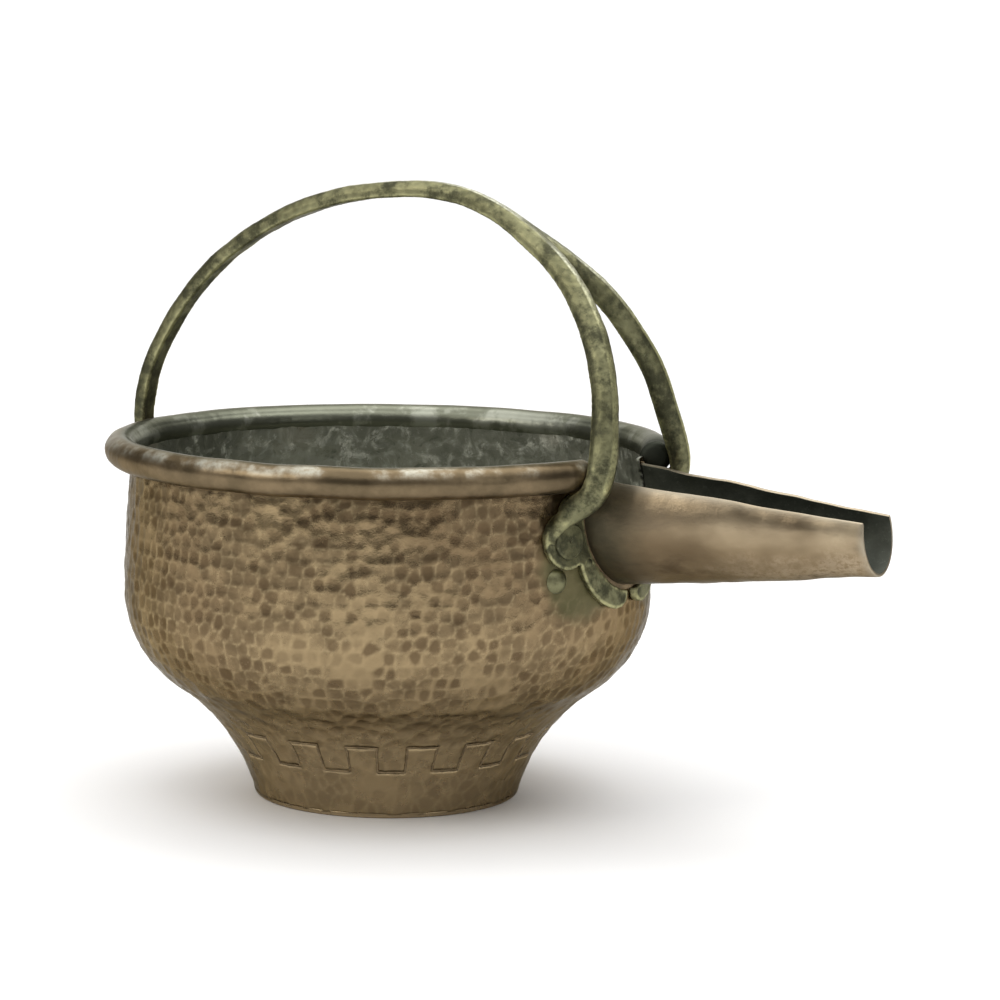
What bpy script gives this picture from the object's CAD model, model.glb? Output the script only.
import bmesh
import bpy
import math
import numpy as np
from mathutils import Matrix, Vector, kdtree, noise


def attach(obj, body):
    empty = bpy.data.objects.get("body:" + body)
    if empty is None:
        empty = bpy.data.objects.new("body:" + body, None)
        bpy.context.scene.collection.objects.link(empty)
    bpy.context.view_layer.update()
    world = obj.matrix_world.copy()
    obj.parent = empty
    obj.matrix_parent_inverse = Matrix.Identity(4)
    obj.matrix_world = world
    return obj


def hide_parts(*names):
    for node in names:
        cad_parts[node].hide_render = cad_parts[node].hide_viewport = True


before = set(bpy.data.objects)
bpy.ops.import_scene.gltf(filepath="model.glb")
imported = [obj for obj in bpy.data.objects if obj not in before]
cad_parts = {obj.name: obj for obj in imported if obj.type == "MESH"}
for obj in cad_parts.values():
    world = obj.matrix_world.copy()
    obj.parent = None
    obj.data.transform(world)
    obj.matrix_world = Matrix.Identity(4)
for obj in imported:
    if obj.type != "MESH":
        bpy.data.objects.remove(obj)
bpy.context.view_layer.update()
scene = bpy.context.scene


# small helpers shared by the pieces

def polar(radius, angle, height):
    return Vector((radius * math.cos(angle), radius * math.sin(angle), height))


def meshPiece(name, points, faces, materials, faceSlots=None):
    mesh = bpy.data.meshes.new(name)
    mesh.from_pydata([tuple(p) for p in points], [], [tuple(f) for f in faces])
    for material in materials:
        mesh.materials.append(material)
    if faceSlots is not None:
        mesh.polygons.foreach_set("material_index", np.asarray(faceSlots, dtype=np.int32))
    mesh.polygons.foreach_set("use_smooth", np.ones(len(mesh.polygons), dtype=bool))
    mesh.update()
    piece = bpy.data.objects.new(name, mesh)
    scene.collection.objects.link(piece)
    return piece


def pointArray(mesh):
    flat = np.empty(len(mesh.vertices) * 3)
    mesh.vertices.foreach_get("co", flat)
    return flat.reshape(-1, 3)


def normalArray(mesh):
    flat = np.empty(len(mesh.vertices) * 3)
    mesh.vertices.foreach_get("normal", flat)
    return flat.reshape(-1, 3)


def setAttribute(piece, name, values):
    layer = piece.data.attributes.get(name) or piece.data.attributes.new(name, "FLOAT", "POINT")
    layer.data.foreach_set("value", np.asarray(values, dtype=np.float32))


def setDirections(piece, name, values):
    layer = piece.data.attributes.new(name, "FLOAT_VECTOR", "POINT")
    layer.data.foreach_set("vector", np.asarray(values, dtype=np.float32).ravel())


def turnFacesOut(piece):
    mesh = bmesh.new()
    mesh.from_mesh(piece.data)
    bmesh.ops.recalc_face_normals(mesh, faces=mesh.faces)
    mesh.to_mesh(piece.data)
    mesh.free()


def softNoise(points, size, seed):
    offset = Vector((seed * 7.31, seed * 3.17, seed * 5.71))
    return np.array([noise.noise(Vector(p) / size + offset) for p in points])


def frozen(piece):
    # the evaluated result becomes a plain mesh
    bpy.context.view_layer.update()
    graph = bpy.context.evaluated_depsgraph_get()
    mesh = bpy.data.meshes.new_from_object(piece.evaluated_get(graph))
    old = piece.data
    piece.modifiers.clear()
    piece.data = mesh
    bpy.data.meshes.remove(old)
    return piece


# materials

grazingTint = (0.42, 0.41, 0.38)


class Nodes:
    # a short way to write a material's nodes
    def __init__(self, name):
        self.material = bpy.data.materials.new(name)
        self.material.use_nodes = True
        self.tree = self.material.node_tree
        self.tree.nodes.clear()
        self.output = self.tree.nodes.new("ShaderNodeOutputMaterial")
        self.shader = self.tree.nodes.new("ShaderNodeBsdfPrincipled")
        self.tree.links.new(self.shader.outputs[0], self.output.inputs["Surface"])
        self.coordinates = self.tree.nodes.new("ShaderNodeTexCoord").outputs["Object"]

    def link(self, source, socket):
        if hasattr(source, "links"):
            self.tree.links.new(source, socket)
        else:
            socket.default_value = source

    def stretched(self, scale):
        node = self.tree.nodes.new("ShaderNodeMapping")
        node.inputs["Scale"].default_value = scale
        self.link(self.coordinates, node.inputs["Vector"])
        return node.outputs[0]

    def noise(self, scale, detail=4, rough=0.55, vector=None, distortion=0.0):
        node = self.tree.nodes.new("ShaderNodeTexNoise")
        node.inputs["Scale"].default_value = scale
        node.inputs["Detail"].default_value = detail
        node.inputs["Roughness"].default_value = rough
        node.inputs["Distortion"].default_value = distortion
        self.link(vector or self.coordinates, node.inputs["Vector"])
        return node.outputs["Fac"]

    def attribute(self, name):
        node = self.tree.nodes.new("ShaderNodeAttribute")
        node.attribute_name = name
        return node.outputs["Fac"]

    def mix(self, amount, first, second):
        node = self.tree.nodes.new("ShaderNodeMix")
        node.data_type = "RGBA"
        self.link(amount, node.inputs[0])
        for value, socket in ((first, node.inputs[6]), (second, node.inputs[7])):
            self.link(value if hasattr(value, "links") else (*value, 1), socket)
        return node.outputs[2]

    def maths(self, operation, first, second):
        node = self.tree.nodes.new("ShaderNodeMath")
        node.operation = operation
        self.link(first, node.inputs[0])
        self.link(second, node.inputs[1])
        return node.outputs[0]

    def step(self, value, low, high, bottom=0.0, top=1.0):
        node = self.tree.nodes.new("ShaderNodeMapRange")
        node.interpolation_type = "SMOOTHSTEP"
        node.inputs["From Min"].default_value = low
        node.inputs["From Max"].default_value = high
        node.inputs["To Min"].default_value = bottom
        node.inputs["To Max"].default_value = top
        self.link(value, node.inputs["Value"])
        return node.outputs[0]

    def near(self, point, reach):
        # 1 round a point, fading to 0 at reach
        node = self.tree.nodes.new("ShaderNodeVectorMath")
        node.operation = "DISTANCE"
        self.link(self.coordinates, node.inputs[0])
        node.inputs[1].default_value = point
        return self.step(node.outputs["Value"], reach * 0.35, reach, 1.0, 0.0)

    def axis(self, name):
        node = self.tree.nodes.new("ShaderNodeSeparateXYZ")
        self.link(self.coordinates, node.inputs[0])
        return node.outputs[name]

    def height(self):
        return self.axis("Z")

    def along(self):
        return self.axis("X")

    def bump(self, value, strength, distance, base=None):
        node = self.tree.nodes.new("ShaderNodeBump")
        node.inputs["Strength"].default_value = strength
        node.inputs["Distance"].default_value = distance
        self.link(value, node.inputs["Height"])
        if base is not None:
            self.link(base, node.inputs["Normal"])
        return node.outputs[0]

    def finish(self, colour, rough, metal, normal=None):
        self.link(colour, self.shader.inputs["Base Color"])
        self.link(rough, self.shader.inputs["Roughness"])
        self.link(metal, self.shader.inputs["Metallic"])
        self.shader.inputs["Specular Tint"].default_value = (*grazingTint, 1)
        if normal is not None:
            self.link(normal, self.shader.inputs["Normal"])
        return self.material


footSpots = [(0.104, -0.030, 0.104), (0.104, 0.030, 0.104), (-0.106, 0.0, 0.106)]


def verdigris(nodes, reach):
    # green bloom round the handle's feet, broken up by noise
    total = None
    for spot in footSpots:
        one = nodes.near(spot, reach)
        total = one if total is None else nodes.maths("MAXIMUM", total, one)
    blotch = nodes.noise(90, 5, 0.65)
    return nodes.step(nodes.maths("MULTIPLY", total, nodes.maths("ADD", blotch, 0.25)), 0.22, 0.62)


def hammeredCopper():
    nodes = Nodes("hammeredCopper")
    broad = nodes.noise(12, 3, 0.5)
    middle = nodes.noise(60, 5, 0.6)
    fine = nodes.noise(420, 6, 0.7)
    brown = nodes.mix(nodes.step(broad, 0.36, 0.64), (0.225, 0.160, 0.088), (0.315, 0.235, 0.130))
    brown = nodes.mix(nodes.step(middle, 0.40, 0.68), brown, (0.150, 0.108, 0.060))
    cell = nodes.attribute("cell")
    tone = nodes.attribute("tone")
    dark = nodes.maths("MULTIPLY", nodes.step(cell, 0.0, 0.72), nodes.step(tone, 0.10, 1.0, 0.08, 0.82))
    body = nodes.mix(dark, brown, (0.110, 0.074, 0.040))
    rub = nodes.maths("MULTIPLY", nodes.step(cell, 0.46, 0.0), nodes.step(fine, 0.34, 0.60))
    rub = nodes.maths("MULTIPLY", rub, nodes.step(middle, 0.36, 0.60, 0.1, 1.0))
    body = nodes.mix(nodes.maths("MULTIPLY", rub, 0.40), body, (0.50, 0.39, 0.22))
    speck = nodes.step(fine, 0.60, 0.74)
    body = nodes.mix(nodes.maths("MULTIPLY", speck, 0.28), body, (0.46, 0.36, 0.22))
    green = verdigris(nodes, 0.034)
    body = nodes.mix(nodes.maths("MULTIPLY", green, 0.7), body, (0.105, 0.108, 0.045))
    foot = nodes.step(nodes.height(), 0.060, 0.030, 0.0, 0.42)
    body = nodes.mix(foot, body, (0.46, 0.36, 0.215))
    low = nodes.step(nodes.height(), 0.0, 0.0022, 1.0, 0.0)
    body = nodes.mix(nodes.maths("MULTIPLY", low, 0.5), body, (0.72, 0.58, 0.40))
    rough = nodes.step(middle, 0.3, 0.7, 0.20, 0.34)
    rough = nodes.maths("ADD", rough, nodes.maths("MULTIPLY", green, 0.32))
    metal = nodes.maths("SUBTRACT", 0.95, nodes.maths("MULTIPLY", green, 0.55))
    relief = nodes.bump(fine, 0.30, 0.0004)
    relief = nodes.bump(middle, 0.30, 0.0010, relief)
    return nodes.finish(body, rough, metal, relief)


def spoutCopper():
    nodes = Nodes("spoutCopper")
    long = nodes.stretched((0.55, 1.0, 1.0))
    broad = nodes.noise(26, 4, 0.55, long)
    middle = nodes.noise(70, 5, 0.62, long)
    fine = nodes.noise(480, 6, 0.7)
    body = nodes.mix(nodes.step(broad, 0.36, 0.62), (0.150, 0.108, 0.062), (0.255, 0.190, 0.112))
    body = nodes.mix(nodes.step(middle, 0.54, 0.70), body, (0.115, 0.083, 0.050))
    tan = nodes.maths("MULTIPLY", nodes.step(broad, 0.50, 0.70), nodes.step(fine, 0.35, 0.6))
    body = nodes.mix(nodes.maths("MULTIPLY", tan, 0.6), body, (0.56, 0.46, 0.33))
    under = nodes.step(nodes.height(), 0.112, 0.098, 0.0, 0.6)
    body = nodes.mix(under, body, (0.125, 0.090, 0.048))
    upper = nodes.step(nodes.height(), 0.110, 0.124)
    upper = nodes.maths("MULTIPLY", upper, nodes.step(broad, 0.38, 0.58, 0.35, 1.0))
    body = nodes.mix(nodes.maths("MULTIPLY", upper, 0.62), body, (0.56, 0.46, 0.31))
    edge = nodes.attribute("edge")
    grey = nodes.maths("MULTIPLY", nodes.step(edge, 0.2, 0.9), nodes.step(middle, 0.3, 0.6, 0.5, 1.0))
    body = nodes.mix(nodes.maths("MULTIPLY", grey, 0.6), body, (0.42, 0.38, 0.30))
    root = nodes.step(nodes.along(), 0.130, 0.108)
    root = nodes.maths("MULTIPLY", root, nodes.step(middle, 0.25, 0.60, 0.55, 1.0))
    body = nodes.mix(nodes.maths("MULTIPLY", root, 0.92), body, (0.050, 0.044, 0.025))
    rough = nodes.step(middle, 0.3, 0.7, 0.28, 0.42)
    metal = nodes.maths("SUBTRACT", 0.94, nodes.maths("MULTIPLY", root, 0.45))
    relief = nodes.bump(fine, 0.25, 0.0004)
    relief = nodes.bump(middle, 0.30, 0.0012, relief)
    return nodes.finish(body, rough, metal, relief)


def tinnedInside():
    nodes = Nodes("tinnedInside")
    broad = nodes.noise(22, 4, 0.6)
    middle = nodes.noise(110, 6, 0.7, distortion=0.6)
    fine = nodes.noise(520, 6, 0.75)
    body = nodes.mix(nodes.step(broad, 0.35, 0.65), (0.165, 0.170, 0.135), (0.32, 0.325, 0.265))
    pale = nodes.maths("MULTIPLY", nodes.step(middle, 0.50, 0.64), nodes.step(fine, 0.38, 0.6))
    body = nodes.mix(nodes.maths("MULTIPLY", pale, 0.8), body, (0.80, 0.80, 0.70))
    ring = nodes.step(nodes.attribute("cell"), 0.60, 0.0)
    ring = nodes.maths("MULTIPLY", ring, nodes.step(middle, 0.40, 0.58))
    body = nodes.mix(nodes.maths("MULTIPLY", ring, 0.45), body, (0.62, 0.63, 0.54))
    black = nodes.step(middle, 0.42, 0.30)
    body = nodes.mix(nodes.maths("MULTIPLY", black, 0.6), body, (0.06, 0.068, 0.055))
    warm = nodes.maths("MULTIPLY", nodes.step(nodes.height(), 0.122, 0.137), nodes.step(broad, 0.52, 0.68))
    body = nodes.mix(nodes.maths("MULTIPLY", warm, 0.35), body, (0.36, 0.27, 0.19))
    rough = nodes.step(middle, 0.3, 0.7, 0.36, 0.60)
    relief = nodes.bump(middle, 0.5, 0.0012)
    relief = nodes.bump(fine, 0.3, 0.0004, relief)
    return nodes.finish(body, rough, 0.70, relief)


def dullTinning():
    nodes = Nodes("dullTinning")
    broad = nodes.noise(40, 5, 0.6)
    fine = nodes.noise(520, 6, 0.75)
    body = nodes.mix(nodes.step(broad, 0.36, 0.66), (0.040, 0.044, 0.034), (0.085, 0.090, 0.072))
    body = nodes.mix(nodes.maths("MULTIPLY", nodes.step(fine, 0.55, 0.72), 0.5), body, (0.16, 0.17, 0.14))
    relief = nodes.bump(fine, 0.35, 0.0005)
    return nodes.finish(body, nodes.step(broad, 0.3, 0.7, 0.50, 0.68), 0.35, relief)


def wornBead():
    nodes = Nodes("wornBead")
    streak = nodes.noise(46, 5, 0.6)
    fine = nodes.noise(430, 6, 0.7)
    around = nodes.attribute("around")
    body = nodes.mix(nodes.step(streak, 0.36, 0.64), (0.120, 0.090, 0.052), (0.215, 0.160, 0.094))
    dull = nodes.step(around, 0.40, 0.56)
    body = nodes.mix(nodes.maths("MULTIPLY", dull, 0.92), body, (0.155, 0.165, 0.125))
    patch = nodes.maths("MULTIPLY", nodes.step(around, 0.52, 0.60), nodes.step(streak, 0.50, 0.60))
    body = nodes.mix(nodes.maths("MULTIPLY", patch, 0.55), body, (0.42, 0.43, 0.36))
    tinnedEnd = nodes.attribute("tinnedEnd")
    body = nodes.mix(tinnedEnd, body, (0.045, 0.049, 0.038))
    crown = nodes.maths("MULTIPLY", nodes.step(around, 0.28, 0.37), nodes.step(around, 0.50, 0.42))
    white = nodes.maths("MULTIPLY", crown, nodes.step(streak, 0.44, 0.60))
    white = nodes.maths("MULTIPLY", white, nodes.step(fine, 0.30, 0.60, 0.3, 1.0))
    body = nodes.mix(nodes.maths("MULTIPLY", white, 0.60), body, (0.50, 0.51, 0.44))
    rough = nodes.step(streak, 0.3, 0.7, 0.28, 0.42)
    rough = nodes.maths("ADD", rough, nodes.maths("MULTIPLY", tinnedEnd, 0.25))
    relief = nodes.bump(fine, 0.25, 0.0004)
    relief = nodes.bump(streak, 0.35, 0.0012, relief)
    return nodes.finish(body, rough, 0.90, relief)


def handleBrass():
    nodes = Nodes("handleBrass")
    broad = nodes.noise(38, 4, 0.55)
    middle = nodes.noise(120, 6, 0.70)
    fine = nodes.noise(620, 6, 0.75)
    edge = nodes.attribute("edge")
    crest = nodes.attribute("crest")
    body = nodes.mix(nodes.step(broad, 0.38, 0.62), (0.112, 0.110, 0.058), (0.190, 0.186, 0.102))
    body = nodes.mix(nodes.step(middle, 0.42, 0.62), body, (0.062, 0.062, 0.036))
    rim = nodes.maths("MULTIPLY", nodes.step(edge, 0.56, 0.82), nodes.step(middle, 0.64, 0.40, 0.15, 1.0))
    body = nodes.mix(nodes.maths("MULTIPLY", rim, 0.75), body, (0.48, 0.46, 0.24))
    worn = nodes.maths("MULTIPLY", nodes.step(crest, 0.35, 0.90), nodes.step(broad, 0.62, 0.44, 0.25, 1.0))
    worn = nodes.maths("MULTIPLY", worn, nodes.step(fine, 0.64, 0.42, 0.35, 1.0))
    high = nodes.step(nodes.height(), 0.185, 0.225)
    pale = nodes.mix(high, (0.64, 0.62, 0.32), (0.70, 0.70, 0.56))
    body = nodes.mix(nodes.maths("MULTIPLY", worn, 0.95), body, pale)
    speck = nodes.step(fine, 0.60, 0.72)
    body = nodes.mix(nodes.maths("MULTIPLY", speck, 0.30), body, (0.42, 0.42, 0.27))
    rough = nodes.step(middle, 0.3, 0.7, 0.32, 0.52)
    relief = nodes.bump(fine, 0.40, 0.0004)
    relief = nodes.bump(middle, 0.45, 0.0010, relief)
    return nodes.finish(body, rough, 0.82, relief)


def dullBraze():
    nodes = Nodes("dullBraze")
    middle = nodes.noise(160, 5, 0.65)
    fine = nodes.noise(700, 5, 0.7)
    body = nodes.mix(nodes.step(middle, 0.4, 0.64), (0.185, 0.138, 0.080), (0.32, 0.24, 0.14))
    relief = nodes.bump(fine, 0.4, 0.0004)
    return nodes.finish(body, nodes.step(fine, 0.3, 0.7, 0.45, 0.65), 0.7, relief)


def darkIron():
    nodes = Nodes("darkIron")
    middle = nodes.noise(220, 5, 0.6)
    body = nodes.mix(nodes.step(middle, 0.4, 0.6), (0.06, 0.055, 0.05), (0.14, 0.08, 0.05))
    return nodes.finish(body, 0.6, 0.8, nodes.bump(middle, 0.3, 0.0004))


copper = hammeredCopper()
copperSpout = spoutCopper()
tinned = tinnedInside()
tinnedDull = dullTinning()
bead = wornBead()
brass = handleBrass()
braze = dullBraze()
iron = darkIron()
print("materials ready")


# the bowl's wall: three tangent arcs turned about the upright axis

wall = {
    "flareRadius": 0.0778, "flareOut": 0.1281, "flareUp": -0.0191,
    "bellyRadius": 0.0442, "bellyOut": 0.0607, "bellyUp": 0.0827,
    "shoulderRadius": 0.4854, "waist": 0.0458,
    "rimHeight": 0.1384, "gauge": 0.0013, "corner": 0.0015,
    "columns": 540, "wallRows": 90,
    "teeth": 18, "seamLow": 0.0200, "seamHigh": 0.0310, "seamGap": 0.0008,
    "seamInset": 0.0016, "calmBelowRim": 0.009, "tinnedCutAbove": 0.09,
}


def wallPoint(height):
    # radius of the outer face and its outward normal (out, up) at a height
    if height < wall["waist"]:
        up = height - wall["flareUp"]
        run = math.sqrt(wall["flareRadius"] ** 2 - up * up)
        return wall["flareOut"] - run, (run / wall["flareRadius"], -up / wall["flareRadius"])
    if height < wall["bellyUp"]:
        up = height - wall["bellyUp"]
        run = math.sqrt(wall["bellyRadius"] ** 2 - up * up)
        return wall["bellyOut"] + run, (run / wall["bellyRadius"], up / wall["bellyRadius"])
    up = height - wall["bellyUp"]
    run = math.sqrt(wall["shoulderRadius"] ** 2 - up * up)
    centre = wall["bellyOut"] + wall["bellyRadius"] - wall["shoulderRadius"]
    return centre + run, (run / wall["shoulderRadius"], up / wall["shoulderRadius"])


def evenHeights(low, high, count):
    # heights spaced evenly along the wall's slope
    fine = np.linspace(low, high, 1200)
    radii = np.array([wallPoint(z)[0] for z in fine])
    run = np.concatenate([[0], np.cumsum(np.hypot(np.diff(radii), np.diff(fine)))])
    return np.interp(np.linspace(0, run[-1], count), run, fine)


# the trough spout: round-bottomed sections that narrow towards the mouth

trough = {
    "at": (0.096, 0.148, 0.213),
    "half": (0.0246, 0.0204, 0.0132),
    "top": (0.1375, 0.1322, 0.1255),
    "low": (0.0920, 0.0972, 0.1048),
    "gauge": 0.0014, "mouthLow": 0.2095, "mouthTop": 0.2072,
    "mouthFloor": 0.1044, "mouthRise": 0.0216, "openingAt": 0.103, "wallAt": 0.104,
    "lengthRows": 96, "roundColumns": 72,
}


def troughSection(at):
    # centre height and radius of the outer arc, and the height of its top edges,
    # each on a parabola through the three given sections
    found = []
    for key in ("half", "top", "low"):
        total = 0.0
        for i in range(3):
            weight = 1.0
            for j in range(3):
                if j != i:
                    weight *= (at - trough["at"][j]) / (trough["at"][i] - trough["at"][j])
            total += trough[key][i] * weight
        found.append(total)
    half, top, low = found
    deep = top - low
    radius = (half * half + deep * deep) / (2 * deep)
    return low + radius, radius, top


def openingHalf(height):
    # half width of the wall's opening behind the trough at a height
    centre, radius, top = troughSection(trough["openingAt"])
    radius -= trough["gauge"]
    if height >= top:
        return math.sqrt(radius ** 2 - (top - centre) ** 2)
    reach = radius ** 2 - (height - centre) ** 2
    return math.sqrt(reach) if reach > 0 else 0.0


def sheetPiece(name, heights, keep, materials, slots):
    # a closed sheet of revolution made of the kept cells of a grid, with an inner face one gauge in
    columns = wall["columns"]
    rows = len(heights)
    angles = np.arange(columns) * 2 * math.pi / columns
    ring = np.stack([np.cos(angles), np.sin(angles)], 1)
    outerPoints = []
    innerPoints = []
    outward = []
    for z in heights:
        radius, normal = wallPoint(z)
        inRadius = radius - normal[0] * wall["gauge"]
        inHeight = z - normal[1] * wall["gauge"]
        outerPoints.append(np.concatenate([ring * radius, np.full((columns, 1), z)], 1))
        innerPoints.append(np.concatenate([ring * inRadius, np.full((columns, 1), inHeight)], 1))
        outward.append(np.concatenate([ring * normal[0], np.full((columns, 1), normal[1])], 1))
    points = np.concatenate(outerPoints + innerPoints)
    outward = np.concatenate(outward * 2)
    calm = np.clip((wall["rimHeight"] - points[:, 2]) / wall["calmBelowRim"], 0, 1) ** 0.7
    outward = outward * calm[:, None]
    shift = rows * columns
    faces = []
    faceSlots = []

    def kept(i, j):
        return 0 <= i < rows - 1 and keep(i, j % columns)

    for i in range(rows - 1):
        for j in range(columns):
            if not kept(i, j):
                continue
            a, b = i * columns + j, i * columns + (j + 1) % columns
            d, c = a + columns, (i + 1) * columns + (j + 1) % columns
            faces.append((a, b, c, d))
            faces.append((a + shift, d + shift, c + shift, b + shift))
            faceSlots += [slots[0], slots[1]]
            sides = []
            if not kept(i - 1, j):
                sides.append((b, a))
            if not kept(i + 1, j):
                sides.append((d, c))
            if not kept(i, j - 1):
                sides.append((a, d))
            if not kept(i, j + 1):
                sides.append((c, b))
            cutSlot = slots[1] if heights[i] > wall["tinnedCutAbove"] else slots[0]
            for start, end in sides:
                faces.append((start, end, end + shift, start + shift))
                faceSlots.append(cutSlot)
    used = np.unique(np.array(faces).ravel())
    renumber = np.full(len(points), -1)
    renumber[used] = np.arange(len(used))
    faces = [tuple(renumber[list(f)]) for f in faces]
    piece = meshPiece(name, points[used], faces, materials, faceSlots)
    setDirections(piece, "outward", outward[used])
    return piece


def toothed(j):
    # True where a column belongs to one of the pan's teeth
    perTooth = wall["columns"] // wall["teeth"]
    place = (j + perTooth // 4) % perTooth
    return place >= perTooth // 2


seam = wall["seamGap"] / 2
footHeights = list(evenHeights(wall["corner"], wall["seamLow"] - seam, 15))
toothRows = np.linspace(wall["seamLow"] + wall["seamInset"], wall["seamHigh"] - wall["seamInset"], 6)
seamHeights = [wall["seamLow"] + seam] + list(toothRows)
seamHeights += [wall["seamHigh"] - seam, wall["seamHigh"] + seam]
upperHeights = list(evenHeights(wall["seamHigh"] + seam, wall["rimHeight"] + 0.0004, wall["wallRows"]))[1:]
allHeights = footHeights + seamHeights + upperHeights
seamFirst = len(footHeights) - 1
seamLast = len(footHeights) + len(seamHeights) - 1


def besideTooth(j):
    # the single column of braze at each flank of a tooth
    return toothed(j) != toothed(j - 1)


def panKeeps(i, j):
    return i < seamFirst or (i < seamLast - 1 and toothed(j) and not besideTooth(j))


def brazeKeeps(i, j):
    if i < seamFirst or i >= seamLast:
        return False
    if besideTooth(j):
        return True
    return (i == seamLast - 1) if toothed(j) else (i == seamFirst)


def bowlKeeps(i, j):
    if i < seamFirst or brazeKeeps(i, j) or panKeeps(i, j):
        return False
    if i < seamLast:
        return True
    angle = (j + 0.5) * 2 * math.pi / wall["columns"]
    height = (allHeights[i] + allHeights[i + 1]) / 2
    if math.cos(angle) < 0:
        return True
    return abs(wallPoint(height)[0] * math.sin(angle)) > openingHalf(height)


def snapOpening(piece):
    # cell corners along the opening move on to its smooth outline
    mesh = piece.data
    points = pointArray(mesh)
    centre, radius, top = troughSection(trough["openingAt"])
    radius -= trough["gauge"]
    cell = 2 * math.pi / wall["columns"] * trough["wallAt"]
    flat = np.hypot(points[:, 1], points[:, 2] - centre)
    near = (points[:, 0] > 0.09) & (np.abs(flat - radius) < cell * 0.8) & (points[:, 2] < top)
    for k in np.nonzero(near)[0]:
        reach = flat[k]
        points[k, 1] *= radius / reach
        points[k, 2] = centre + (points[k, 2] - centre) * radius / reach
        out = wallPoint(points[k, 2])[0]
        turn = math.hypot(points[k, 0], points[k, 1])
        inset = 0 if abs(turn - out) < 0.0008 else wall["gauge"]
        points[k, 0] = math.sqrt((out - inset) ** 2 - points[k, 1] ** 2)
    mesh.vertices.foreach_set("co", points.ravel())
    mesh.update()


# hammer marks: rows of blows round the bowl, each a shallow hollow, and tall narrow
# strokes on the flare and the foot

marks = {
    "rowStep": 0.0054, "acrossStep": 0.0056, "seed": 11,
    "depth": 0.00034, "size": 0.0038, "wobble": 0.00024, "tilt": 0.034,
    "strokeBelow": 0.047, "strokeAcross": 0.0033, "strokeTall": 0.0105, "footShare": 0.8,
    "acrossSpread": 0.17, "rowSpread": 0.17, "strokeSpread": 0.30, "rowPace": (0.93, 1.07),
}


def blowCentres():
    random = np.random.default_rng(marks["seed"])
    fine = np.linspace(0.002, wall["rimHeight"] - 0.004, 1500)
    radii = np.array([wallPoint(z)[0] for z in fine])
    run = np.concatenate([[0], np.cumsum(np.hypot(np.diff(radii), np.diff(fine)))])
    centres = []
    place = marks["rowStep"] / 2
    while place < run[-1]:
        z = np.interp(place, run, fine)
        radius = wallPoint(z)[0]
        stroke = z < marks["strokeBelow"]
        across = marks["strokeAcross" if stroke else "acrossStep"]
        rise = marks["strokeTall" if stroke else "rowStep"]
        spread = marks["strokeSpread" if stroke else "rowSpread"]
        count = int(2 * math.pi * radius / across)
        start = random.uniform(0, 1)
        for k in range(count):
            angle = (k + start + random.normal(0, marks["acrossSpread"])) * 2 * math.pi / count
            height = z + random.normal(0, spread) * rise
            height = min(max(height, 0.0005), wall["rimHeight"])
            centres.append(polar(wallPoint(height)[0], angle, height))
        place += rise * random.uniform(*marks["rowPace"])
    return centres


def blowCloud(name, centres):
    # a hidden cloud of points, one for each blow
    mesh = bpy.data.meshes.new(name)
    mesh.from_pydata([tuple(c) for c in centres], [], [])
    cloud = bpy.data.objects.new(name, mesh)
    scene.collection.objects.link(cloud)
    return cloud


def markCells(piece, centres):
    # 0 on the line between two blows, rising towards the middle of each
    tree = kdtree.KDTree(len(centres))
    for k, centre in enumerate(centres):
        tree.insert(centre, k)
    tree.balance()
    cells = []
    for point in pointArray(piece.data):
        first, second = tree.find_n(Vector(point), 2)
        cells.append((second[2] - first[2]) / marks["size"])
    setAttribute(piece, "cell", cells)


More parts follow.
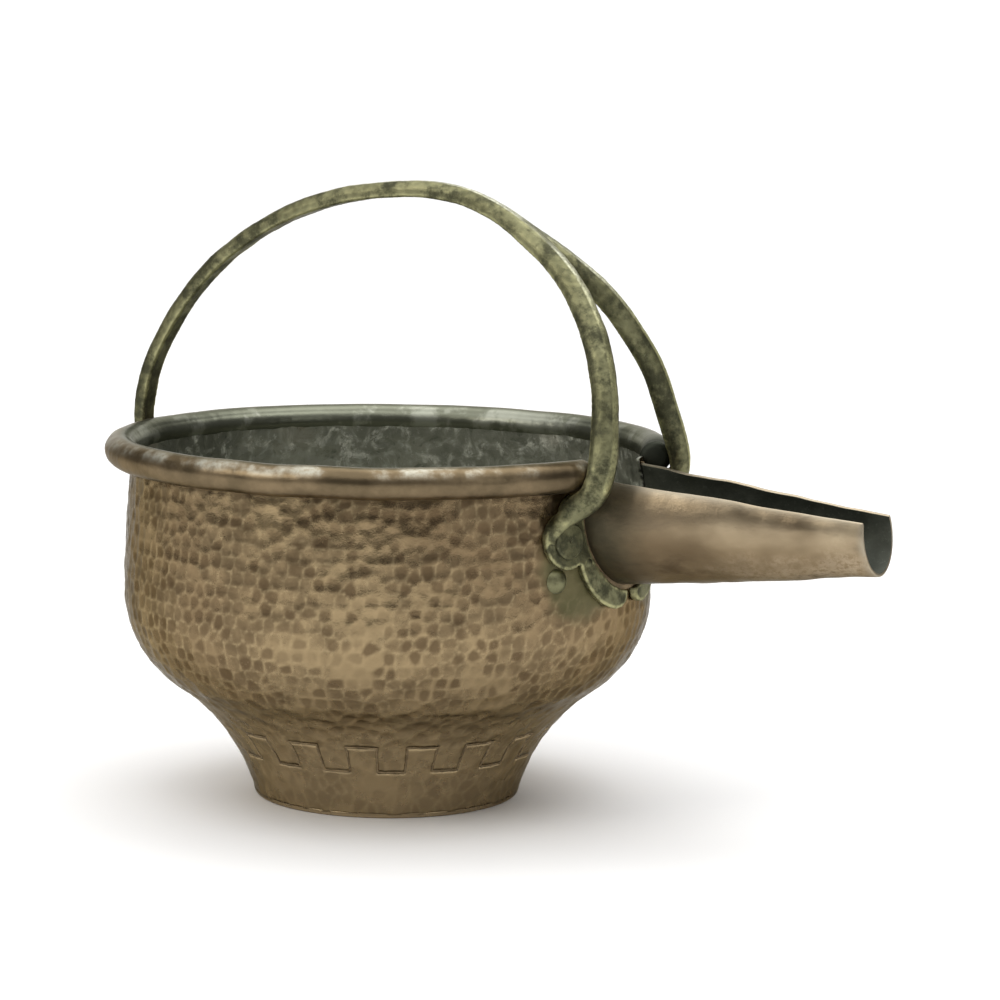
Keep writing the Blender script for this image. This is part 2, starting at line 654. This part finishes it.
def hammerTree():
    # moves a sheet along its outward direction by the distance to the nearest blow
    tree = bpy.data.node_groups.new("hammerSheet", "GeometryNodeTree")
    face = tree.interface
    face.new_socket("Geometry", in_out="INPUT", socket_type="NodeSocketGeometry")
    face.new_socket("Blows", in_out="INPUT", socket_type="NodeSocketObject")
    for label in ("Depth", "Size", "Wobble", "Tilt"):
        socket = face.new_socket(label, in_out="INPUT", socket_type="NodeSocketFloat")
        socket.default_value = marks[label.lower()]
    for label in ("Skin", "Lining"):
        face.new_socket(label, in_out="INPUT", socket_type="NodeSocketMaterial")
    face.new_socket("Geometry", in_out="OUTPUT", socket_type="NodeSocketGeometry")
    link = tree.links.new

    def node(kind, **settings):
        made = tree.nodes.new(kind)
        for name, value in settings.items():
            setattr(made, name, value)
        return made

    def maths(operation, first, second, clamp=False):
        made = node("ShaderNodeMath", operation=operation, use_clamp=clamp)
        link(first, made.inputs[0])
        if hasattr(second, "links"):
            link(second, made.inputs[1])
        else:
            made.inputs[1].default_value = second
        return made.outputs[0]

    def vectors(operation, first, second):
        made = node("ShaderNodeVectorMath", operation=operation)
        link(first, made.inputs[0])
        link(second, made.inputs["Scale"] if operation == "SCALE" else made.inputs[1])
        return made.outputs["Value" if operation == "DOT_PRODUCT" else "Vector"]

    start = node("NodeGroupInput")
    info = node("GeometryNodeObjectInfo")
    link(start.outputs["Blows"], info.inputs["Object"])
    cloud = info.outputs["Geometry"]
    close = node("GeometryNodeProximity", target_element="POINTS")
    link(cloud, close.inputs[0])
    nearest = node("GeometryNodeSampleNearest", domain="POINT")
    link(cloud, nearest.inputs["Geometry"])
    share = maths("DIVIDE", close.outputs["Distance"], start.outputs["Size"], True)
    hollow = maths("SUBTRACT", maths("POWER", share, 1.8), 0.6)
    lift = maths("MULTIPLY", hollow, start.outputs["Depth"])
    slow = node("ShaderNodeTexNoise")
    slow.inputs["Scale"].default_value = 60
    slow.inputs["Detail"].default_value = 2
    sway = maths("MULTIPLY", maths("SUBTRACT", slow.outputs[0], 0.5), start.outputs["Wobble"])
    # every blow leaves a facet with a small lean of its own
    here = node("GeometryNodeInputPosition").outputs[0]
    blowPlace = node("GeometryNodeSampleIndex", data_type="FLOAT_VECTOR", domain="POINT")
    link(cloud, blowPlace.inputs["Geometry"])
    link(here, blowPlace.inputs["Value"])
    link(nearest.outputs[0], blowPlace.inputs["Index"])
    lean = node("FunctionNodeRandomValue", data_type="FLOAT_VECTOR")
    lean.inputs[0].default_value = (-1, -1, -1)
    lean.inputs[1].default_value = (1, 1, 1)
    lean.inputs["Seed"].default_value = marks["seed"] + 3
    link(nearest.outputs[0], lean.inputs["ID"])
    reach = vectors("SUBTRACT", here, blowPlace.outputs[0])
    slant = maths("MULTIPLY", vectors("DOT_PRODUCT", reach, lean.outputs[0]), start.outputs["Tilt"])
    push = maths("ADD", maths("ADD", lift, sway), slant)
    outward = node("GeometryNodeInputNamedAttribute", data_type="FLOAT_VECTOR")
    outward.inputs["Name"].default_value = "outward"
    offset = vectors("SCALE", outward.outputs[0], push)
    # each blow has a tone of its own, which the copper reads
    random = node("FunctionNodeRandomValue", data_type="FLOAT")
    random.inputs["Seed"].default_value = marks["seed"]
    link(nearest.outputs[0], random.inputs["ID"])
    saveTone = node("GeometryNodeStoreNamedAttribute", data_type="FLOAT", domain="POINT")
    saveTone.inputs["Name"].default_value = "tone"
    link(start.outputs["Geometry"], saveTone.inputs["Geometry"])
    link(random.outputs[1], saveTone.inputs["Value"])
    move = node("GeometryNodeSetPosition")
    link(saveTone.outputs["Geometry"], move.inputs["Geometry"])
    link(offset, move.inputs["Offset"])
    real = node("GeometryNodeRealizeInstances")
    link(move.outputs["Geometry"], real.inputs["Geometry"])
    slot = node("GeometryNodeInputMaterialIndex").outputs[0]
    sheet = real.outputs["Geometry"]
    for number, label in enumerate(("Skin", "Lining")):
        chosen = node("FunctionNodeCompare", data_type="INT", operation="EQUAL")
        chosen.inputs["B"].default_value = number
        link(slot, chosen.inputs["A"])
        setter = node("GeometryNodeSetMaterial")
        link(sheet, setter.inputs["Geometry"])
        link(start.outputs[label], setter.inputs["Material"])
        link(chosen.outputs[0], setter.inputs["Selection"])
        sheet = setter.outputs["Geometry"]
    link(sheet, node("NodeGroupOutput").inputs["Geometry"])
    return tree


def giveInputs(modifier, tree, values):
    # inputs are set by the socket's own identifier
    for item in tree.interface.items_tree:
        if item.item_type == "SOCKET" and item.in_out == "INPUT" and item.name in values:
            modifier[item.identifier] = values[item.name]


hammering = hammerTree()
blowSpots = blowCentres()
blows = blowCloud("blows", blowSpots)


def hammer(piece, skin, lining, depth):
    markCells(piece, blowSpots)
    modifier = piece.modifiers.new("hammering", "NODES")
    modifier.node_group = hammering
    giveInputs(modifier, hammering, {"Blows": blows, "Depth": depth, "Skin": skin, "Lining": lining})
    frozen(piece)


bowlWall = sheetPiece("bowl_wall", allHeights, bowlKeeps, [copper, tinned], (0, 1))
snapOpening(bowlWall)
hammer(bowlWall, copper, tinned, marks["depth"])
print("bowl wall", len(bowlWall.data.polygons), "cells")

panWall = sheetPiece("pan_wall", allHeights, panKeeps, [copper, tinned], (0, 1))
hammer(panWall, copper, tinned, marks["depth"] * marks["footShare"])
brazeRun = sheetPiece("braze_run", allHeights, brazeKeeps, [braze, braze], (0, 0))
hammer(brazeRun, braze, braze, marks["depth"] * marks["footShare"])
print("foot wall", len(panWall.data.polygons), "cells, braze", len(brazeRun.data.polygons))


# the pan's floor, a shallow dished disc with a rounded corner

def floorDisc():
    columns = wall["columns"] // 3
    corner = wall["corner"]
    foot = wallPoint(corner)[0]
    profile = [(foot + 0.0002, corner * 1.3)]
    for k in range(7):
        turn = math.pi / 2 * k / 6
        profile.append((foot - corner + corner * math.cos(turn), corner - corner * math.sin(turn)))
    for share in (0.85, 0.6, 0.35, 0.12):
        profile.append(((foot - corner) * share, 0.0))
    under = len(profile)
    for share in (0.12, 0.35, 0.6, 0.85, 0.955):
        profile.append((foot * share, wall["gauge"] + 0.0003 * (1 - share)))
    inner = foot - wall["gauge"] * 0.6
    profile.append((inner - 0.0005, wall["gauge"] + 0.0004))
    profile.append((inner, wall["gauge"] + 0.0011))
    points = []
    faces = []
    slots = []
    for radius, height in profile:
        for j in range(columns):
            angle = j * 2 * math.pi / columns
            points.append(polar(radius, angle, height))
    rings = len(profile)
    for i in range(rings - 1):
        if i == under - 1:
            continue
        for j in range(columns):
            a, b = i * columns + j, i * columns + (j + 1) % columns
            faces.append((a, a + columns, b + columns, b))
            slots.append(0 if i < under else 1)
    for j in range(columns):
        a, b = (rings - 1) * columns + j, (rings - 1) * columns + (j + 1) % columns
        faces.append((a, j, (j + 1) % columns, b))
        slots.append(0)
    faces.append([(under - 1) * columns + columns - 1 - j for j in range(columns)])
    slots.append(0)
    faces.append([under * columns + j for j in range(columns)])
    slots.append(1)
    piece = meshPiece("pan_floor", points, faces, [copper, tinned], slots)
    setAttribute(piece, "cell", np.full(len(points), 0.30))
    setAttribute(piece, "tone", np.full(len(points), 0.5))
    turnFacesOut(piece)
    return piece


panFloor = floorDisc()
print("floor done")


# the rolled rim: a bead with a blunt end on each side of the spout, its lip's crease
# open near the right end only, and its left end tinned

rim = {
    "centreOut": 0.10649, "radius": 0.0061, "gapHalf": math.radians(18.3),
    "along": 560, "lip": 0.0003, "crease": 0.0013, "creaseAt": 143.0,
    "dent": 0.00022, "inward": 0.00045, "tuck": 0.0006, "bluntReach": 0.0026, "bluntness": 0.80,
    "shutCrease": 0.12, "creaseFrom": math.radians(305), "creaseFade": math.radians(20),
    "tinnedTo": math.radians(34), "tinnedFade": math.radians(12), "tinnedLabel": 0.75,
}


def hump(turn, middle, width):
    return math.exp(-((turn - middle) / width) ** 2)


def rimProfile(turn, gape):
    # radius of the bead's section at an angle in degrees, 0 outwards and 90 up
    radius = rim["radius"]
    radius += hump(turn, 190.0, 32.0) * rim["inward"]
    radius -= hump(turn, rim["creaseAt"], 7.0) * gape * rim["crease"]
    radius += hump(turn, rim["creaseAt"] + 17, 12.0) * gape * rim["lip"]
    radius -= hump(turn, 228.0, 10.0) * rim["tuck"]
    return radius


def rimBead():
    turns = list(np.linspace(0, 120, 9, endpoint=False)) + list(np.linspace(120, 170, 12, endpoint=False))
    turns += list(np.linspace(170, 360, 15, endpoint=False))
    around = len(turns)
    along = rim["along"]
    domes = 7
    sweep = 2 * math.pi - 2 * rim["gapHalf"]
    stations = [(rim["gapHalf"] + sweep * k / (along - 1), 1.0) for k in range(along)]
    reach = rim["bluntReach"] / rim["centreOut"]
    for k in range(1, domes):
        part = k / domes
        share = math.sqrt(1 - part ** 2 * rim["bluntness"])
        stations.insert(0, (rim["gapHalf"] - reach * part, share))
        stations.append((rim["gapHalf"] + sweep + reach * part, share))
    points = []
    labels = []
    ends = []
    for angle, share in stations:
        spot = polar(1.0, angle, 0)
        push = noise.noise(spot * 9.0) * rim["dent"] + noise.noise(spot * 31.0) * rim["dent"] * 0.6
        sink = noise.noise(spot * 5.0 + Vector((4, 1, 7))) * rim["dent"] * 1.6
        tinnedShare = min(1.0, max(0.0, (rim["tinnedTo"] - angle) / rim["tinnedFade"]))
        gape = min(1.0, max(0.0, (angle - rim["creaseFrom"]) / rim["creaseFade"]))
        gape = (rim["shutCrease"] + (1 - rim["shutCrease"]) * gape) * (1 - tinnedShare)
        for turn in turns:
            radius = rimProfile(turn, gape) * share
            out = rim["centreOut"] + radius * math.cos(math.radians(turn)) + push
            up = wall["rimHeight"] + radius * math.sin(math.radians(turn)) + sink
            points.append(polar(out, angle, up))
            place = ((turn + 90) % 360) / 360
            labels.append(place + (rim["tinnedLabel"] - place) * tinnedShare)
            ends.append(tinnedShare)
    faces = []
    count = len(stations)
    for i in range(count - 1):
        for j in range(around):
            a, b = i * around + j, i * around + (j + 1) % around
            faces.append((a, b, b + around, a + around))
    faces.append(tuple(range(around))[::-1])
    faces.append(tuple((count - 1) * around + j for j in range(around)))
    piece = meshPiece("rim_bead", points, faces, [bead])
    setAttribute(piece, "around", labels)
    setAttribute(piece, "tinnedEnd", ends)
    turnFacesOut(piece)
    return piece


rimPiece = rimBead()
print("rim bead done")


# the trough itself

dents = {
    "slow": 0.0010, "quick": 0.00035, "edgeWave": 0.0006, "seed": 5,
    "slowPitch": 38, "quickPitch": 120, "wavePitch": 42,
}


def wallMeets(y, z):
    # distance along X where the bowl's outer face lies at (y, z)
    radius = wallPoint(z)[0]
    return math.sqrt(max(radius * radius - y * y, 1e-6))


def troughPoint(share, turn, inset):
    # turn runs from -1 at the right top edge through 0 at the bottom to 1 at the left one
    at = trough["wallAt"]
    for _ in range(6):
        centre, radius, top = troughSection(at)
        limit = math.acos(max(-1.0, min(1.0, (top - centre) / radius)))
        swing = (math.pi - limit) * turn
        r = radius - inset
        y = r * math.sin(swing)
        z = centre - r * math.cos(swing)
        rise = (z - trough["mouthFloor"]) / trough["mouthRise"]
        mouth = trough["mouthLow"] + (trough["mouthTop"] - trough["mouthLow"]) * rise
        root = wallMeets(y, z) + 0.0001
        at = root + (mouth - root) * share
    return Vector((at, y, z))


def spoutShell():
    rows, columns = trough["lengthRows"], trough["roundColumns"]
    points = []
    edges = []
    for inset in (0.0, trough["gauge"]):
        for i in range(rows):
            share = i / (rows - 1)
            for j in range(columns + 1):
                turn = -1 + 2 * j / columns
                place = troughPoint(share, turn, inset)
                fade = min(1.0, share * 8) * (0.55 + 0.45 * min(1.0, (1 - share) * 6))
                seeded = place * dents["slowPitch"] + Vector((dents["seed"], 2.7, 1.3))
                slow = noise.noise(seeded) * dents["slow"] * fade
                quick = noise.noise(place * dents["quickPitch"]) * dents["quick"] * fade
                centre = troughSection(place.x)[0]
                away = Vector((0, place.y, place.z - centre)).normalized()
                wave = noise.noise(Vector((place.x * dents["wavePitch"], turn, 3.3))) * dents["edgeWave"]
                wave *= abs(turn) ** 6 * fade
                points.append(place + away * (slow + quick) + Vector((0, 0, wave)))
                edges.append(max(abs(turn) ** 14, share ** 40))
    shift = rows * (columns + 1)
    width = columns + 1
    faces = []
    slots = []
    for i in range(rows - 1):
        for j in range(columns):
            a, b = i * width + j, i * width + j + 1
            faces.append((a, a + width, b + width, b))
            slots.append(0)
            faces.append((a + shift, b + shift, b + width + shift, a + width + shift))
            slots.append(1)
        for j in (0, columns):
            a = i * width + j
            faces.append((a, a + shift, a + width + shift, a + width))
            slots.append(0)
    for i in (0, rows - 1):
        for j in range(columns):
            a = i * width + j
            faces.append((a, a + 1, a + 1 + shift, a + shift))
            slots.append(0)
    piece = meshPiece("spout_shell", points, faces, [copperSpout, tinnedDull], slots)
    setAttribute(piece, "edge", edges)
    turnFacesOut(piece)
    bevel = piece.modifiers.new("softEdges", "BEVEL")
    bevel.width = 0.00035
    bevel.segments = 2
    bevel.limit_method = "ANGLE"
    bevel.angle_limit = math.radians(50)
    return frozen(piece)


spoutPiece = spoutShell()
print("spout", len(spoutPiece.data.polygons), "cells")


# the cast handle: the casting's own solid, softened and roughened as old brass is

casting = {
    "voxel": 0.00058, "soften": 3, "lumps": 0.00028, "pits": 0.00010,
    "bowHeart": 0.128, "bowFrom": 0.142, "bowFade": 0.05, "barFrom": 0.124, "barFade": 0.010,
}


def convexity(piece, rounds):
    # how far each point stands proud of its neighbours, softened, from 0 to 1
    mesh = piece.data
    points = pointArray(mesh)
    normals = normalArray(mesh)
    pairs = np.empty(len(mesh.edges) * 2, dtype=np.int64)
    mesh.edges.foreach_get("vertices", pairs)
    pairs = pairs.reshape(-1, 2)
    first, second = pairs[:, 0], pairs[:, 1]
    along = points[second] - points[first]
    length = np.maximum(np.linalg.norm(along, axis=1), 1e-9)
    bend = np.einsum("ij,ij->i", normals[second] - normals[first], along) / length ** 2
    count = np.bincount(first, minlength=len(points)) + np.bincount(second, minlength=len(points))
    value = np.bincount(first, bend, len(points)) + np.bincount(second, bend, len(points))
    value = value / np.maximum(count, 1)
    for _ in range(rounds):
        total = np.bincount(first, value[second], len(points))
        total += np.bincount(second, value[first], len(points))
        value = 0.4 * value + 0.6 * total / np.maximum(count, 1)
    scale = np.percentile(value, 97)
    return np.clip(0.5 + 0.5 * value / max(scale, 1e-9), 0, 1)


def castHandle():
    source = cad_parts["handle"]
    mesh = source.data.copy()
    mesh.name = "handle_casting"
    mesh.materials.clear()
    piece = bpy.data.objects.new("handle_casting", mesh)
    scene.collection.objects.link(piece)
    joined = bmesh.new()
    joined.from_mesh(mesh)
    bmesh.ops.remove_doubles(joined, verts=joined.verts, dist=2e-6)
    joined.to_mesh(mesh)
    joined.free()
    skin = piece.modifiers.new("skin", "REMESH")
    skin.mode = "VOXEL"
    skin.voxel_size = casting["voxel"]
    soft = piece.modifiers.new("soften", "SMOOTH")
    soft.factor = 0.5
    soft.iterations = casting["soften"]
    frozen(piece)
    mesh = piece.data
    points = pointArray(mesh)
    normals = normalArray(mesh)
    lumps = softNoise(points, 0.011, 3) * casting["lumps"]
    pits = softNoise(points, 0.0024, 9) * casting["pits"]
    points = points + normals * (lumps + pits)[:, None]
    mesh.vertices.foreach_set("co", points.ravel())
    mesh.materials.append(brass)
    mesh.polygons.foreach_set("use_smooth", np.ones(len(mesh.polygons), dtype=bool))
    mesh.update()
    setAttribute(piece, "edge", convexity(piece, 3))
    # the crest is the bar's face that looks away from the middle of the bow
    away = points - np.array([0, 0, casting["bowHeart"]])
    away[:, 2] *= np.clip((points[:, 2] - casting["bowFrom"]) / casting["bowFade"], 0, 1)
    away /= np.linalg.norm(away, axis=1)[:, None]
    facing = np.einsum("ij,ij->i", normals, away)
    bar = np.clip((points[:, 2] - casting["barFrom"]) / casting["barFade"], 0, 1)
    setAttribute(piece, "crest", np.clip((facing - 0.88) / 0.11, 0, 1) * bar)
    return piece


handlePiece = castHandle()
print("handle", len(handlePiece.data.polygons), "cells")


# pieces ride with the can and stand for their solids

for piece, nodes, slot in (
    (bowlWall, ["bowl_shell"], "copper"),
    (rimPiece, [], "copper"),
    (panWall, ["base_pan"], "copper"),
    (panFloor, [], "copper"),
    (brazeRun, ["seam_braze"], "braze"),
    (spoutPiece, ["spout_trough"], "copper"),
    (handlePiece, ["handle"], "handle_brass"),
):
    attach(piece, "root")
    if nodes:
        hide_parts(*nodes)

bpy.data.objects.remove(blows)


def dress(node, material):
    # the kept solids get a better finish
    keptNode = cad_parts[node]
    keptNode.data.materials.clear()
    keptNode.data.materials.append(material)


for node in ("foot_rivets", "dome_rivets", "lobe_rivets"):
    dress(node, brass)
dress("spout_braze", braze)
dress("rim_wire", iron)
print("pieces placed")


# the plain pale floor, soft light and the camera

studio = {
    "floorTone": 0.92, "worldBright": 1.9, "worldDark": 0.15,
    "keyPower": 9.0, "fillPower": 2.2, "topPower": 6.0,
    "floorReach": 60.0, "lampAim": (0.03, 0, 0.10),
    "frontFade": (-0.95, -0.72), "overheadFade": (0.86, 0.50),
    "eyeDistance": 1.4, "eyeTurn": math.radians(29.0), "eyeRise": math.radians(10.2098),
    "eyeAim": (0, 0, 0.060), "pan": math.radians(-1.8244), "tilt": math.radians(2.3535),
    "roll": math.radians(0.4132), "lens": 125.503,
}


def paleFloor():
    mesh = bpy.data.meshes.new("floor")
    reach = studio["floorReach"]
    corners = [(-reach, -reach, 0), (reach, -reach, 0), (reach, reach, 0), (-reach, reach, 0)]
    mesh.from_pydata(corners, [], [(0, 1, 2, 3)])
    floor = bpy.data.objects.new("floor", mesh)
    scene.collection.objects.link(floor)
    nodes = Nodes("paleFloor")
    tone = studio["floorTone"]
    mesh.materials.append(nodes.finish((tone, tone, tone, 1), 0.9, 0.0))


def darkFrontWorld():
    # a bright room whose front is dim, so that the metal has something dark to mirror
    world = bpy.data.worlds.new("studio")
    world.use_nodes = True
    tree = world.node_tree
    link = tree.links.new
    direction = tree.nodes.new("ShaderNodeTexCoord").outputs["Generated"]
    split = tree.nodes.new("ShaderNodeSeparateXYZ")
    link(direction, split.inputs[0])
    turn = studio["eyeTurn"]
    front = tree.nodes.new("ShaderNodeVectorMath")
    front.operation = "DOT_PRODUCT"
    front.inputs[1].default_value = (math.sin(turn), -math.cos(turn), 0)
    link(direction, front.inputs[0])
    parts = []
    for source, key in ((front.outputs["Value"], "frontFade"), (split.outputs["Z"], "overheadFade")):
        fade = tree.nodes.new("ShaderNodeMapRange")
        fade.interpolation_type = "SMOOTHSTEP"
        fade.inputs["From Min"].default_value = studio[key][0]
        fade.inputs["From Max"].default_value = studio[key][1]
        link(source, fade.inputs["Value"])
        parts.append(fade.outputs[0])
    both = tree.nodes.new("ShaderNodeMath")
    both.operation = "MULTIPLY"
    link(parts[0], both.inputs[0])
    link(parts[1], both.inputs[1])
    tone = tree.nodes.new("ShaderNodeMapRange")
    tone.inputs["To Min"].default_value = studio["worldBright"]
    tone.inputs["To Max"].default_value = studio["worldDark"]
    link(both.outputs[0], tone.inputs["Value"])
    link(tone.outputs[0], tree.nodes["Background"].inputs["Color"])
    scene.world = world


def softLamp(name, spot, size, power, colour=(1, 1, 1)):
    lamp = bpy.data.lights.new(name, "AREA")
    lamp.shape = "RECTANGLE"
    lamp.size, lamp.size_y = size
    lamp.energy = power
    lamp.color = colour
    holder = bpy.data.objects.new(name, lamp)
    aim = Vector(studio["lampAim"]) - Vector(spot)
    holder.matrix_world = Matrix.Translation(spot) @ aim.to_track_quat("-Z", "Y").to_matrix().to_4x4()
    scene.collection.objects.link(holder)


def placeCamera():
    # the eye is aimed at the can, then panned, tilted and rolled a little
    turn, rise = studio["eyeTurn"], studio["eyeRise"]
    away = Vector((math.sin(turn) * math.cos(rise), -math.cos(turn) * math.cos(rise), math.sin(rise)))
    spot = Vector(studio["eyeAim"]) + away * studio["eyeDistance"]
    right = Vector((0, 0, 1)).cross(away).normalized()
    axes = Matrix((right, away.cross(right), away)).transposed()
    for key, axis in (("pan", "Y"), ("tilt", "X"), ("roll", "Z")):
        axes = axes @ Matrix.Rotation(studio[key], 3, axis)
    data = bpy.data.cameras.new("camera")
    data.lens = studio["lens"]
    data.sensor_width = 36.0
    data.clip_start = 0.05
    holder = bpy.data.objects.new("camera", data)
    holder.matrix_world = Matrix.Translation(spot) @ axes.to_4x4()
    scene.collection.objects.link(holder)
    scene.camera = holder


paleFloor()
softLamp("keyLight", (-0.75, -1.35, 1.05), (0.8, 0.8), studio["keyPower"], (1.0, 0.97, 0.92))
softLamp("fillLight", (1.5, -0.6, 0.7), (0.5, 0.8), studio["fillPower"])
softLamp("topLight", (0.1, 0.5, 1.6), (1.4, 1.0), studio["topPower"])
darkFrontWorld()
scene.view_settings.view_transform = "Standard"
placeCamera()
print("stage set")
